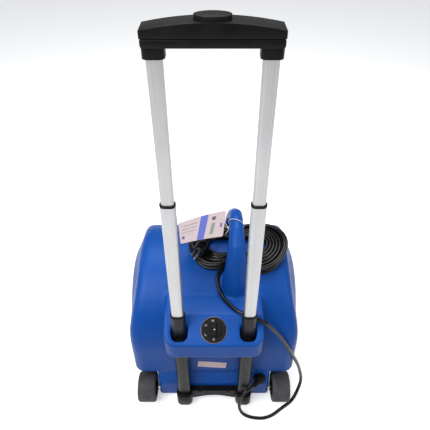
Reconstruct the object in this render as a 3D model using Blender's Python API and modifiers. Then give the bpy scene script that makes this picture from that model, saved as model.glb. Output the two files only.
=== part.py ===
"""Centrifugal air mover (carpet and floor dryer) with a telescopic trolley handle.

A moulded blue housing holds a double-inlet squirrel-cage fan and its motor.  Behind it two
three-stage trolley tubes stand in a bottom bracket and pass through a moulded console, which
carries the speed switch.  The mains cord leaves a gland on the base, lies in a loop on the
floor and ends in a hank laid through the carry handle.

Every local y is measured forwards from the plane of the trolley tubes, z upwards from the
floor, and x to the right of a person standing behind the handle.
"""
import math

import bmesh
import bpy
from mathutils import Matrix, Vector

# ---------------------------------------------------------------- driving dimensions (metres)
GAP = 0.0003                    # clearance kept between pieces that touch
TUBE_PLANE_Y = -0.2080          # world y of the plane of the trolley tubes

# Housing
FAN_Y, FAN_Z = 0.204, 0.200     # axis of the drum and of the fan, parallel to x
DRUM_R = 0.182
HALF_WIDTH = 0.200
SHOULDER_DROP = 0.020           # how far the flanks lean in towards the top
FLANK_EDGE = 0.022              # rounding between the flanks and the rolled skin
WALL = 0.0045
SOLE_Z = 0.014
REAR_WALL_Y = 0.0225
WHEEL_ARCH_Z = 0.101            # underside of the wide body above the wheels
INTAKE_R = 0.100
GRILLE_R = 0.112
DUCT_HALF_WIDTH = 0.172
DUCT_FRONT_Y = 0.446
DUCT_TOP_Z = 0.138
SEAM_X = 0.036                   # where the two halves of the moulding meet
INTAKE_BOSS_X = 0.1858           # inner face of the ring that carries each grille
RECESS = 0.0046                  # depth of the seat of each grille
DUCT_RISE = 0.48                # slope of the duct's roof back towards the drum

# Base step between the wheels
BASE_HALF_WIDTH = 0.143
BASE_REAR_Y = 0.013
BASE_Z = 0.010
BASE_EDGE_Z = 0.066

# Console
CONSOLE_HALF_WIDTH = 0.109
CONSOLE_LIP_Y = -0.030
CONSOLE_BOTTOM_Z = 0.2585
CONSOLE_LIP_TOP_Z = 0.3044
CONSOLE_TOP_Z = 0.338
CONSOLE_SLOPE = math.radians(30)
DIAL_R = 0.0275

# Trolley tubes: (width, depth, corner radius, wall)
TUBE_X = 0.075
OUTER = (0.0315, 0.0230, 0.0100, 0.0015)
MIDDLE = (0.0266, 0.0185, 0.0080, 0.0013)
UPPER = (0.0224, 0.0145, 0.0062, 0.0012)
OUTER_BOTTOM_Z, OUTER_TOP_Z = 0.030, 0.3725
MIDDLE_BOTTOM_Z, MIDDLE_TOP_Z = 0.326, 0.668
UPPER_BOTTOM_Z, UPPER_TOP_Z = 0.622, 0.931
COLLAR_HEIGHT = 0.0036

# Trolley grip
GRIP_BOTTOM_Z, GRIP_BAR_Z, GRIP_SPLIT_Z, GRIP_END_Z, GRIP_CROWN_Z = 0.913, 0.928, 0.940, 0.950, 0.959
GRIP_HALF_WIDTH = 0.0895
GRIP_HALF_DEPTH = 0.018
BUTTON_HALF = (0.0235, 0.0145)
BUTTON_TOP_Z = 0.9645

# Wheels
WHEEL_R = 0.038
AXLE_Y, AXLE_Z = 0.0205, 0.038
AXLE_R = 0.004
TYRE_X = (0.150, 0.195)

# Carry handle: (y, z, radius) along its arch
HANDLE_X = 0.050
HANDLE_R = 0.0155
HANDLE_ARCH = [
    (0.106, 0.300, 0.033), (0.102, 0.345, 0.0305), (0.103, 0.388, 0.0275), (0.106, 0.425, 0.0235),
    (0.119, 0.457, 0.0192), (0.146, 0.478, 0.0165), (0.174, 0.484, 0.0156), (0.196, 0.479, 0.0156),
    (0.217, 0.463, 0.0160), (0.240, 0.443, 0.0168), (0.262, 0.424, 0.0178), (0.281, 0.401, 0.0195),
    (0.292, 0.371, 0.0220), (0.297, 0.335, 0.0250),
]

# Mains cord
CORD_R = 0.0042
FLOOR_Z = 0.0045
CORD_ROUTE = [
    (0.0985, -0.0070, 0.0895), (0.0920, -0.0130, 0.0908), (0.0840, -0.0175, 0.0905),
    (0.0760, -0.0205, 0.0875), (0.0690, -0.0245, 0.0810), (0.0645, -0.0292, 0.0690),
    (0.0630, -0.0335, 0.0520), (0.0650, -0.0375, 0.0330), (0.0720, -0.0410, 0.0165),
    (0.0860, -0.0445, 0.0072), (0.1030, -0.0467, FLOOR_Z), (0.1250, -0.0480, FLOOR_Z),
    (0.1500, -0.0400, FLOOR_Z), (0.1760, -0.0215, FLOOR_Z), (0.2050, -0.0020, 0.0070),
    (0.2215, 0.0190, 0.0260), (0.2280, 0.0300, 0.0560), (0.2175, 0.0300, 0.1060),
    (0.2050, 0.0240, 0.1480), (0.1900, 0.0195, 0.1860), (0.1745, 0.0160, 0.2230),
    (0.1580, 0.0150, 0.2590), (0.1400, 0.0130, 0.2905), (0.1240, 0.0105, 0.3150),
    (0.1105, 0.0100, 0.3345), (0.0965, 0.0125, 0.3400), (0.0840, 0.0175, 0.3420),
    (0.0700, 0.0225, 0.3430), (0.0560, 0.0300, 0.3430), (0.0380, 0.0465, 0.3430),
    (0.0180, 0.0744, 0.3440), (0.0085, 0.0985, 0.3545), (0.0068, 0.1120, 0.3632),
]

# Cord hank: an oval ring lying on the drum, through the carry handle
HANK_CENTRE = (0.055, 0.1895)
HANK_HALF = (0.1195, 0.0765)
HANK_BUNDLE = 0.046
HANK_THICKNESS = 0.0285
HANK_CLEARANCE = 0.0012
HANK_BLOCK_Z = (0.350, 0.425)

# Plug, lying on the left lobe of the hank
PLUG_TAIL = Vector((-0.0049, 0.1931, 0.4248))
PLUG_FACE = Vector((-0.0358, 0.1398, 0.4180))

X_AXIS_TURN = (0.0, math.pi / 2, 0.0)
BLUE = (0.012, 0.095, 0.520)
BLACK = (0.012, 0.012, 0.013)

for old in list(bpy.data.objects):
    bpy.data.objects.remove(old, do_unlink=True)

PARTS = bpy.data.collections.new("air_mover")
CUTTERS = bpy.data.collections.new("cutters")
bpy.context.scene.collection.children.link(PARTS)
bpy.context.scene.collection.children.link(CUTTERS)
FRAME = bpy.data.objects.new("tube_plane", None)
FRAME.location = (0.0, TUBE_PLANE_Y, 0.0)
PARTS.objects.link(FRAME)


# ---------------------------------------------------------------- materials
def material(name, colour, roughness, metallic=0.0):
    """A plain Principled material, made once."""
    if name in bpy.data.materials:
        return bpy.data.materials[name]
    made = bpy.data.materials.new(name)
    made.use_nodes = True
    shader = made.node_tree.nodes["Principled BSDF"]
    shader.inputs["Base Color"].default_value = (*colour, 1.0)
    shader.inputs["Roughness"].default_value = roughness
    shader.inputs["Metallic"].default_value = metallic
    return made


def blue_plastic():
    return material("blue_polyethylene", BLUE, 0.45)


def black_plastic():
    return material("black_nylon", BLACK, 0.50)


def black_steel():
    return material("black_coated_steel", (0.016, 0.016, 0.018), 0.35)


def silver_tube():
    return material("anodised_aluminium", (0.72, 0.73, 0.74), 0.38, 1.0)


def rubber():
    return material("grey_rubber", (0.045, 0.046, 0.048), 0.80)


def cord_rubber():
    return material("cord_jacket", (0.010, 0.010, 0.010), 0.40)


def steel():
    return material("zinc_steel", (0.62, 0.62, 0.60), 0.35, 1.0)


def motor_grey():
    return material("motor_enamel", (0.10, 0.11, 0.12), 0.50)


def card():
    return material("white_card", (0.80, 0.74, 0.76), 0.70)


# ---------------------------------------------------------------- modelling helpers
def place(obj, location=(0, 0, 0), rotation=(0, 0, 0), finish=None, cutter=False):
    """Put an object in its collection and under the frame, with its material."""
    obj.location = location
    obj.rotation_euler = rotation
    obj.parent = FRAME
    if cutter:
        CUTTERS.objects.link(obj)
        obj.hide_render = True
        obj.display_type = "WIRE"
    else:
        PARTS.objects.link(obj)
    if finish is not None:
        obj.data.materials.append(finish)
    return obj


def from_bmesh(name, shape):
    mesh = bpy.data.meshes.new(name)
    shape.to_mesh(mesh)
    shape.free()
    return bpy.data.objects.new(name, mesh)


def smooth(obj, angle=35):
    """Shade a round piece smooth, with its real edges kept sharp."""
    obj.data.shade_smooth()
    obj.data.set_sharp_from_angle(angle=math.radians(angle))
    return obj


def bevel(obj, width, segments=2, angle=30):
    edge = obj.modifiers.new("rounded_edges", "BEVEL")
    edge.width = width
    edge.segments = segments
    edge.limit_method = "ANGLE"
    edge.angle_limit = math.radians(angle)
    return obj


def box(name, low, high, rounding=0.0, segments=2, **where):
    """A box between two corners given in the frame, with its origin at its centre."""
    low, high = Vector(low), Vector(high)
    shape = bmesh.new()
    bmesh.ops.create_cube(shape, size=1.0)
    bmesh.ops.scale(shape, vec=high - low, verts=shape.verts)
    obj = place(from_bmesh(name, shape), (low + high) / 2, **where)
    return bevel(obj, rounding, segments) if rounding else obj


def cylinder(name, radius, depth, centre, rotation=(0, 0, 0), segments=32, tip=None, **where):
    """A cylinder, or a cone when tip gives the radius of its +z end."""
    shape = bmesh.new()
    bmesh.ops.create_cone(shape, cap_ends=True, segments=segments, radius1=radius,
                          radius2=radius if tip is None else tip, depth=depth)
    return smooth(place(from_bmesh(name, shape), centre, rotation, **where))


def turned(name, profile, centre, rotation=(0, 0, 0), steps=32, ring=False, **where):
    """A turned shape: (radius, height) points down the outer side, closed for a ring."""
    shape = bmesh.new()
    points = [shape.verts.new((r, 0.0, z)) for r, z in profile]
    for first, second in zip(points, points[1:]):
        shape.edges.new((first, second))
    if ring:
        shape.edges.new((points[-1], points[0]))
    obj = place(from_bmesh(name, shape), centre, rotation, **where)
    screw = obj.modifiers.new("turn", "SCREW")
    screw.angle = math.tau
    screw.steps = screw.render_steps = steps
    screw.use_merge_vertices = True
    screw.merge_threshold = 0.00001
    return obj


def arc(centre, radius, start, end, steps):
    """Points on an arc, angles in degrees."""
    angles = [math.radians(start + (end - start) * i / steps) for i in range(steps + 1)]
    return [(centre[0] + radius * math.cos(a), centre[1] + radius * math.sin(a)) for a in angles]


def rounded_rectangle(width, depth, corner, centre=(0.0, 0.0), steps=4):
    points = []
    for sx, sy, start in ((1, 1, 0), (-1, 1, 90), (-1, -1, 180), (1, -1, 270)):
        middle = (centre[0] + sx * (width / 2 - corner), centre[1] + sy * (depth / 2 - corner))
        points += arc(middle, corner, start, start + 90, steps)
    return points


def outline(name, loops, thickness, centre, rotation=(0, 0, 0), **where):
    """A flat plate from closed loops of (x, y) points: the first outside, the rest holes."""
    curve = bpy.data.curves.new(name, "CURVE")
    curve.dimensions = "2D"
    curve.fill_mode = "BOTH"
    curve.extrude = thickness / 2
    for loop in loops:
        spline = curve.splines.new("POLY")
        spline.points.add(len(loop) - 1)
        for point, (x, y) in zip(spline.points, loop):
            point.co = (x, y, 0.0, 1.0)
        spline.use_cyclic_u = True
    return place(bpy.data.objects.new(name, curve), centre, rotation, **where)


def tube(name, points, radius, resolution=2, closed=False, radii=None, **where):
    """A round rod along points, as a curve with a bevel and filled caps."""
    curve = bpy.data.curves.new(name, "CURVE")
    curve.dimensions = "3D"
    curve.bevel_depth = radius
    curve.bevel_resolution = resolution
    curve.use_fill_caps = True
    spline = curve.splines.new("POLY")
    spline.points.add(len(points) - 1)
    for i, (point, co) in enumerate(zip(spline.points, points)):
        point.co = (*co, 1.0)
        point.radius = radii[i] / radius if radii else 1.0
    spline.use_cyclic_u = closed
    return place(bpy.data.objects.new(name, curve), **where)


def as_mesh(obj):
    """Replace a curve with its welded mesh, so that it can be cut or joined."""
    bpy.context.view_layer.update()
    graph = bpy.context.evaluated_depsgraph_get()
    mesh = bpy.data.meshes.new_from_object(obj.evaluated_get(graph))
    shape = bmesh.new()
    shape.from_mesh(mesh)
    bmesh.ops.remove_doubles(shape, verts=shape.verts, dist=0.00001)
    bmesh.ops.recalc_face_normals(shape, faces=shape.faces)
    shape.to_mesh(mesh)
    shape.free()
    name = obj.name
    obj.name = name + "_curve"
    solid = bpy.data.objects.new(name, mesh)
    for home in obj.users_collection:
        home.objects.link(solid)
    solid.parent = obj.parent
    solid.matrix_world = obj.matrix_world.copy()
    solid.hide_render = obj.hide_render
    solid.display_type = obj.display_type
    bpy.data.objects.remove(obj, do_unlink=True)
    return solid


def combine(obj, other, operation):
    step = obj.modifiers.new(f"{operation.lower()}_{other.name}", "BOOLEAN")
    step.object = other
    step.operation = operation
    step.solver = "EXACT"
    return obj


def cut(obj, *others):
    for other in others:
        combine(obj, other, "DIFFERENCE")
    return obj


def fuse(obj, *others):
    for other in others:
        combine(obj, other, "UNION")
    return obj


def smooth_path(points, spacing):
    """Points at about an even spacing on a Catmull-Rom curve through the given points."""
    points = [Vector(p) for p in points]
    padded = [2 * points[0] - points[1]] + points + [2 * points[-1] - points[-2]]
    path = []
    for a, b, c, d in zip(padded, padded[1:], padded[2:], padded[3:]):
        count = max(1, round((c - b).length / spacing))
        for i in range(count):
            t = i / count
            path.append(0.5 * (2 * b + (c - a) * t + (2 * a - 5 * b + 4 * c - d) * t * t
                               + (3 * b - a - 3 * c + d) * t ** 3))
    return path + [points[-1]]


def aim(direction):
    """Euler rotation that turns +z onto a direction."""
    return Vector(direction).to_track_quat("Z", "Y").to_euler()


# ---------------------------------------------------------------- housing
def side_outline(inset):
    """The housing seen from the side: (y, z) from the fan axis, over the top and round."""
    radius = DRUM_R - inset
    points = arc((0.0, 0.0), radius, 180, -40, 44)
    front_y = points[-1][0]
    sole = SOLE_Z + inset - FAN_Z
    arch = WHEEL_ARCH_Z + inset - FAN_Z
    rear = REAR_WALL_Y + inset - FAN_Y
    arch_front = 0.080 + inset - FAN_Y
    corner = 0.010
    points += [(front_y, sole + corner), (front_y - corner, sole)]
    points += [(front_y + (arch_front - front_y) * t, sole) for t in (0.25, 0.5, 0.75)]
    points += [(arch_front + 0.012 + corner, sole), (arch_front + 0.012, sole + corner)]
    points += [(arch_front + 0.004, arch - corner), (arch_front - corner, arch)]
    points += [((arch_front + rear) / 2, arch)]
    points += arc((rear + corner, arch + corner), corner, 270, 180, 3)
    points += [(rear, arch + (0 - arch) * t) for t in (0.35, 0.65)]
    return points


def lean(z):
    """How far the flank leans in at height z."""
    t = min(1.0, max(0.0, (z - 0.235) / (FAN_Z + DRUM_R - 0.235)))
    return SHOULDER_DROP * t * t * (3 - 2 * t)


def drum_solid(name, inset, edge):
    """The wide body as a loft of its side outline, from flank to flank."""
    rim = side_outline(inset)
    width = HALF_WIDTH - inset
    flat_radius = GRILLE_R + 0.006
    sections = []
    for side in (1, -1):
        rings = [[(width, Vector(p).normalized() * flat_radius) for p in rim]]
        for step in range(4):
            angle = math.radians(30 * step)
            ring = []
            for p in rim:
                inward = Vector(p).normalized() * edge * (1 - math.sin(angle))
                flank = width - lean(p[1] + FAN_Z) - edge * (1 - math.cos(angle))
                ring.append((flank, Vector(p) - inward))
            rings.append(ring)
        rings = [[(side * x, p) for x, p in ring] for ring in rings]
        sections += rings if side == 1 else rings[::-1]
    shape = bmesh.new()
    loops = [[shape.verts.new((x, p[0], p[1])) for x, p in ring] for ring in sections]
    for ring, after in zip(loops, loops[1:]):
        for i in range(len(ring)):
            j = (i + 1) % len(ring)
            shape.faces.new((ring[i], ring[j], after[j], after[i]))
    shape.faces.new(loops[0])
    shape.faces.new(loops[-1])
    bmesh.ops.recalc_face_normals(shape, faces=shape.faces)
    return from_bmesh(name, shape)


def prism(name, profile, half_width, **where):
    """A (y, z) outline extruded across the machine."""
    shape = bmesh.new()
    face = shape.faces.new([shape.verts.new((-half_width, y, z)) for y, z in profile])
    made = bmesh.ops.extrude_face_region(shape, geom=[face])
    moved = [v for v in made["geom"] if isinstance(v, bmesh.types.BMVert)]
    bmesh.ops.translate(shape, vec=(2 * half_width, 0, 0), verts=moved)
    bmesh.ops.recalc_face_normals(shape, faces=shape.faces)
    return place(from_bmesh(name, shape), **where)


def console_block():
    """The console: a block with round plan corners, its panel cut to the slope."""
    plan = rounded_rectangle(2 * CONSOLE_HALF_WIDTH, 0.140, 0.024, (0.0, CONSOLE_LIP_Y + 0.070), 6)
    height = CONSOLE_TOP_Z - CONSOLE_BOTTOM_Z
    block = as_mesh(outline("console_block", [plan], height, (0, 0, CONSOLE_BOTTOM_Z + height / 2),
                            cutter=True))
    above = Vector((0, -math.sin(CONSOLE_SLOPE), math.cos(CONSOLE_SLOPE))) * 0.100
    slope = box("console_slope", (-0.15, -0.20, -0.10), (0.15, 0.20, 0.10), cutter=True)
    slope.location = Vector((0, CONSOLE_LIP_Y, CONSOLE_LIP_TOP_Z)) + above
    slope.rotation_euler = (CONSOLE_SLOPE, 0, 0)
    cut(block, slope)
    return bevel(block, 0.006, 3, 24)


def handle_arch(name, grow=0.0):
    """The line of the carry handle, thick at its feet and slim at the grip, ending in the drum."""
    path = smooth_path(HANDLE_ARCH, 0.020)
    points = [(HANDLE_X, p.x, p.y) for p in path]
    return as_mesh(tube(name, points, HANDLE_R, 7, radii=[p.z + grow for p in path], cutter=True))


def duct_section(name, inset, rounding, rear, front):
    """A length of the outlet duct as a solid: level floor, roof rising back to the drum."""
    floor = SOLE_Z + inset
    lip = DUCT_TOP_Z - inset
    profile = [(rear, floor), (front, floor), (front, lip - DUCT_RISE * (front - DUCT_FRONT_Y)),
               (rear, lip + DUCT_RISE * (DUCT_FRONT_Y - rear))]
    duct = prism(name, profile, DUCT_HALF_WIDTH - inset, cutter=True)
    return bevel(duct, rounding, 3) if rounding else duct


def housing():
    """The hollow moulding in two halves that meet at the seam, and the carry handle on top."""
    body = place(drum_solid("drum_body", 0.0, FLANK_EDGE), (0, FAN_Y, FAN_Z), cutter=True)
    duct = duct_section("duct_block", 0.0, 0.012, 0.330, DUCT_FRONT_Y + 0.030)
    beyond = box("duct_trim", (-0.3, DUCT_FRONT_Y, -0.1), (0.3, DUCT_FRONT_Y + 0.1, 0.3), cutter=True)
    cut(duct, beyond)
    base_profile = [(BASE_REAR_Y, BASE_Z), (0.110, BASE_Z), (0.110, 0.115), (0.026, 0.106),
                    (BASE_REAR_Y, BASE_EDGE_Z)]
    base = bevel(prism("base_block", base_profile, BASE_HALF_WIDTH, cutter=True), 0.006, 2, 20)
    console = console_block()
    fuse(body, duct, base, console)

    cavity = place(drum_solid("drum_cavity", WALL, FLANK_EDGE - WALL), (0, FAN_Y, FAN_Z), cutter=True)
    duct_way = duct_section("duct_way", WALL, 0.008, 0.325, DUCT_FRONT_Y + 0.030)
    base_way = box("base_way", (-BASE_HALF_WIDTH + WALL, BASE_REAR_Y + 0.016, 0.060),
                   (BASE_HALF_WIDTH - WALL, 0.105, 0.112), cutter=True)
    switch_well = box("switch_well", (-0.030, -0.0215, 0.266), (0.030, 0.070, 0.300), cutter=True)
    cut(body, cavity, duct_way, base_way, switch_well)

    for side in (-1, 1):
        inner = side * INTAKE_BOSS_X
        middle = (inner + side * (HALF_WIDTH - 0.002)) / 2
        fuse(body, cylinder(f"intake_boss_{side}", GRILLE_R + 0.005, abs(middle - inner) * 2,
                            (middle, FAN_Y, FAN_Z), X_AXIS_TURN, 48, cutter=True))
        recess = side * (HALF_WIDTH - RECESS + 0.010)
        cut(body, cylinder(f"grille_recess_{side}", GRILLE_R + GAP, 0.020, (recess, FAN_Y, FAN_Z),
                           X_AXIS_TURN, 48, cutter=True))
    intakes = cylinder("intake_bore", INTAKE_R, 2 * HALF_WIDTH + 0.02, (0, FAN_Y, FAN_Z), X_AXIS_TURN,
                       48, cutter=True)
    axle_bore = cylinder("axle_bore", AXLE_R + 0.0003, 0.32, (0, AXLE_Y, AXLE_Z), X_AXIS_TURN, 24,
                         cutter=True)
    cut(body, intakes, axle_bore)
    for side in (-1, 1):
        slot = rounded_rectangle(0.0356, 0.0335, 0.0125, (side * TUBE_X, -0.0035), 5)
        cut(body, as_mesh(outline(f"tube_slot_{side}", [slot], 0.120, (0, 0, 0.300), cutter=True)))
    stem = cylinder("switch_bore", 0.0065, 0.060, dial_point(-0.010), aim(DIAL_NORMAL), 20, cutter=True)
    cut(body, stem)

    whole = as_mesh(body)
    for name, side in (("housing_left", 1), ("housing_right", -1)):
        near = SEAM_X - side * GAP / 2
        low, high = sorted((near, near + side * 0.5))
        half = place(bpy.data.objects.new(name, whole.data.copy()), finish=blue_plastic())
        half.location = whole.location
        cut(half, box(f"{name}_trim", (low, -0.3, -0.3), (high, 0.6, 0.7), cutter=True))

    handle = handle_arch("carry_handle")
    CUTTERS.objects.unlink(handle)
    handle.hide_render = False
    handle.display_type = "TEXTURED"
    PARTS.objects.link(handle)
    handle.data.materials.append(blue_plastic())
    crown = cylinder("handle_seat", DRUM_R + GAP, 0.5, (0, FAN_Y, FAN_Z), X_AXIS_TURN, 132, cutter=True)
    panel = box("handle_panel", (-0.2, -0.1, 0.1), (0.2, 0.110, CONSOLE_TOP_Z + GAP), cutter=True)
    cut(handle, crown, panel)


DIAL_NORMAL = Vector((0, -math.sin(CONSOLE_SLOPE), math.cos(CONSOLE_SLOPE)))
DIAL_CENTRE = Vector((0.0, -0.001, CONSOLE_LIP_TOP_Z + math.tan(CONSOLE_SLOPE) * 0.029))


def dial_point(height):
    """A point on the switch axis, at a height above the sloping panel."""
    return DIAL_CENTRE + DIAL_NORMAL * height


# ---------------------------------------------------------------- grilles and fan
def ring_slot(inner, outer, start, end, steps):
    return arc((0, 0), outer, start, end, steps) + arc((0, 0), inner, end, start, steps)


def intake_grille(name, side):
    """A flat guard: rings and spokes left between curved slots."""
    loops = [arc((0, 0), GRILLE_R, 0, 350, 35)]
    for inner in (0.026, 0.041, 0.056, 0.071, 0.086):
        outer = inner + 0.0105
        margin = math.degrees(0.0035 / inner)
        for sector in range(6):
            start = 60 * sector
            loops.append(ring_slot(inner, outer, start + margin, start + 60 - margin, 3))
    middle = side * (HALF_WIDTH - RECESS + GAP + 0.002)
    return outline(name, loops, 0.004, (middle, FAN_Y, FAN_Z), X_AXIS_TURN,
                   finish=black_plastic())


def outlet_grille():
    """Upright bars across the outlet, in a frame that sits inside the mouth."""
    half = DUCT_HALF_WIDTH - WALL - GAP
    low, high = SOLE_Z + WALL + GAP, DUCT_TOP_Z - WALL - GAP
    middle = (low + high) / 2
    height = high - low
    loops = [rounded_rectangle(2 * half, height, 0.008 - GAP)]
    columns = 14
    pitch = 2 * (half - 0.006) / columns
    for column in range(columns):
        x = -half + 0.006 + pitch * (column + 0.5)
        for row in (-1, 1):
            loops.append(rounded_rectangle(pitch - 0.004, height / 2 - 0.010, 0.004,
                                           (x, row * height / 4), 1))
    return outline("outlet_grille", loops, 0.005, (0, DUCT_FRONT_Y - 0.009, middle),
                   (math.pi / 2, 0, 0), finish=black_plastic())


def impeller():
    """Squirrel-cage wheel: end rings, centre disc and hub, joined by tilted blades."""
    outer, inner, half = 0.120, 0.098, 0.122
    blade_count = 18
    wheel = turned("impeller", [(outer, 0.002), (outer, -0.002), (0.016, -0.002), (0.016, -0.020),
                                (0.0067, -0.020), (0.0067, 0.012), (0.016, 0.012), (0.016, 0.002)],
                   (0, FAN_Y, FAN_Z), X_AXIS_TURN, 32, ring=True, finish=black_plastic())
    for end in (-1, 1):
        z = end * half
        profile = [(outer, z + 0.002), (outer, z - 0.002), (inner, z - 0.002), (inner, z + 0.002)]
        fuse(wheel, turned(f"impeller_ring_{end}", profile, (0, FAN_Y, FAN_Z), X_AXIS_TURN, 32,
                           ring=True, cutter=True))
    blades = bmesh.new()
    for index in range(blade_count):
        made = bmesh.ops.create_cube(blades, size=1.0)["verts"]
        bmesh.ops.scale(blades, vec=(0.0195, 0.0022, 2 * half), verts=made)
        turn = Matrix.Rotation(math.tau * index / blade_count, 4, "Z")
        tilt = Matrix.Rotation(math.radians(24), 4, "Z")
        bmesh.ops.transform(blades, matrix=turn @ Matrix.Translation(((outer + inner) / 2, 0, 0)) @ tilt,
                            verts=made)
    cage = place(from_bmesh("impeller_blades", blades), (0, FAN_Y, FAN_Z), X_AXIS_TURN, cutter=True)
    return fuse(wheel, cage)


def fan():
    impeller()
    cylinder("motor_shaft", 0.0063, 0.072, (0.013, FAN_Y, FAN_Z), X_AXIS_TURN, 20, finish=steel())
    # The motor case has a blind bore for the shaft at its fan end.
    turned("motor_body", [(0.0, 0.134), (0.030, 0.134), (0.052, 0.128), (0.062, 0.118), (0.062, 0.048),
                          (0.052, 0.034), (0.024, 0.026), (0.0068, 0.026), (0.0068, 0.051), (0.0, 0.051)],
           (0, FAN_Y, FAN_Z), X_AXIS_TURN, 28, finish=motor_grey())
    spider = cylinder("motor_bracket", 0.034, 0.003, (0.134 + GAP + 0.0015, FAN_Y, FAN_Z), X_AXIS_TURN, 32,
                      finish=steel())
    wall = INTAKE_BOSS_X - GAP
    for arm in range(3):
        angle = math.radians(90 + 120 * arm)
        spread = Matrix.Rotation(angle, 4, "X")
        shape = bmesh.new()
        for low, high in (((0.1343, 0.020, -0.008), (0.1373, 0.108, 0.008)),
                          ((0.1343, 0.105, -0.008), (wall, 0.108, 0.008)),
                          ((wall - 0.003, 0.105, -0.008), (wall, 0.116, 0.008))):
            made = bmesh.ops.create_cube(shape, size=1.0)["verts"]
            low, high = Vector(low), Vector(high)
            bmesh.ops.scale(shape, vec=high - low, verts=made)
            bmesh.ops.transform(shape, matrix=spread @ Matrix.Translation((low + high) / 2), verts=made)
        leg = place(from_bmesh(f"bracket_arm_{arm}", shape), (0, FAN_Y, FAN_Z), cutter=True)
        union = fuse(spider, leg).modifiers[-1]
        union.use_self = True
    cylinder("run_capacitor", 0.018, 0.070, (-0.110, 0.062, 0.215), segments=24, finish=motor_grey())


# ---------------------------------------------------------------- switch and gland
def switch():
    turned("switch_plate", [(0.0075, 0.003 + GAP), (DIAL_R - 0.0012, 0.003 + GAP), (DIAL_R, 0.002 + GAP),
                            (DIAL_R, GAP), (0.0075, GAP)],
           DIAL_CENTRE, aim(DIAL_NORMAL), 36, ring=True, finish=black_plastic())
    knob = turned("switch_knob", [(0.0, 0.016), (0.0125, 0.016), (0.0145, 0.0145), (0.0165, 0.0045),
                                  (0.0165, 0.0036), (0.0058, 0.0036), (0.0058, -0.029), (0.0, -0.029)],
                  DIAL_CENTRE, aim(DIAL_NORMAL), 32, finish=black_plastic())
    scallops = bmesh.new()
    for side in (-1, 1):
        made = bmesh.ops.create_cube(scallops, size=1.0)["verts"]
        bmesh.ops.scale(scallops, vec=(0.012, 0.040, 0.020), verts=made)
        bmesh.ops.translate(scallops, vec=(side * 0.0105, 0, 0.0170), verts=made)
    cut(knob, place(from_bmesh("knob_flats", scallops), DIAL_CENTRE, aim(DIAL_NORMAL), cutter=True))
    body = box("switch_body", (-0.015, 0.000, 0.2680), (0.015, 0.028, 0.2975), 0.0015, 2,
               finish=black_plastic())
    cut(body, cylinder("switch_body_bore", 0.0068, 0.030, dial_point(-0.020), aim(DIAL_NORMAL), 20,
                       cutter=True))


GLAND_NORMAL = Vector((0, -(0.106 - BASE_EDGE_Z), 0.026 - BASE_REAR_Y)).normalized()
GLAND_CENTRE = Vector((0.1165, BASE_REAR_Y + 0.013 * 0.45, BASE_EDGE_Z + 0.040 * 0.45))


def gland():
    """Round gland on the base's shoulder, with the boot that bends the cord away."""
    body = turned("cord_gland", [(0.0, 0.0145), (0.006, 0.0140), (0.0105, 0.0120), (0.0125, 0.0080),
                                 (0.0130, 0.0042), (0.0160, 0.0042), (0.0165, 0.0030), (0.0165, GAP),
                                 (0.0, GAP)],
                  GLAND_CENTRE, aim(GLAND_NORMAL), 24, finish=black_plastic())
    start = GLAND_CENTRE + GLAND_NORMAL * 0.0085
    end = Vector(CORD_ROUTE[0])
    direction = (end - start).normalized()
    length = (end - start).length - GAP
    boot = cylinder("gland_boot", 0.0080, length, start + direction * length / 2, aim(direction), 20,
                    tip=0.0052, cutter=True)
    return fuse(body, boot)


def cord():
    """The mains cord from the gland boot to the hank, the hank itself, and the plug."""
    tube("mains_cord", smooth_path(CORD_ROUTE, 0.0165), CORD_R, 2, finish=cord_rubber())
    outer = [(HANK_CENTRE[0] + HANK_HALF[0] * x, HANK_CENTRE[1] + HANK_HALF[1] * y)
             for x, y in arc((0, 0), 1.0, 0, 350, 35)]
    inner = [(HANK_CENTRE[0] + (HANK_HALF[0] - HANK_BUNDLE) * x,
              HANK_CENTRE[1] + (HANK_HALF[1] - HANK_BUNDLE) * y) for x, y in arc((0, 0), 1.0, 0, 350, 35)]
    low, high = HANK_BLOCK_Z
    hank = as_mesh(outline("cord_hank", [outer, inner], high - low, (0, 0, (low + high) / 2)))
    hank.data.materials.append(cord_rubber())
    crown = cylinder("hank_crown", DRUM_R + HANK_THICKNESS, 0.6, (0, FAN_Y, FAN_Z), X_AXIS_TURN, 96,
                     cutter=True)
    combine(hank, crown, "INTERSECT")
    saddle = cylinder("hank_saddle", DRUM_R + 2 * GAP, 0.6, (0, FAN_Y, FAN_Z), X_AXIS_TURN, 96, cutter=True)
    near_leg = cylinder("hank_notch", 0.0315, 0.2, (HANDLE_X, 0.1025, 0.400), cutter=True)
    cut(hank, saddle, near_leg, handle_arch("hank_way", HANK_CLEARANCE))
    return hank


def plug():
    """Moulded three-pin plug with its pins, lying across the left lobe of the hank."""
    direction = (PLUG_FACE - PLUG_TAIL).normalized()
    length = (PLUG_FACE - PLUG_TAIL).length
    turned("plug_body", [(0.0, length), (0.0125, length), (0.0145, length - 0.002),
                         (0.0145, length - 0.016), (0.0120, length - 0.026), (0.0085, length - 0.036),
                         (0.0060, 0.0), (0.0, 0.0)],
           PLUG_TAIL, aim(direction), 28, finish=cord_rubber())
    turn = aim(direction).to_matrix()
    for name, offset, size in (("plug_blade_line", (0.0063, 0.0035), (0.0015, 0.0063)),
                               ("plug_blade_neutral", (-0.0063, 0.0035), (0.0015, 0.0079))):
        shape = bmesh.new()
        bmesh.ops.create_cube(shape, size=1.0)
        bmesh.ops.scale(shape, vec=(size[0], size[1], 0.0155), verts=shape.verts)
        at = PLUG_TAIL + turn @ Vector((offset[0], offset[1], length + GAP + 0.00775))
        place(from_bmesh(name, shape), at, aim(direction), finish=steel())
    at = PLUG_TAIL + turn @ Vector((0, -0.0055, length + GAP + 0.009))
    cylinder("plug_ground_pin", 0.0024, 0.018, at, aim(direction), 16, finish=steel())


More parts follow.
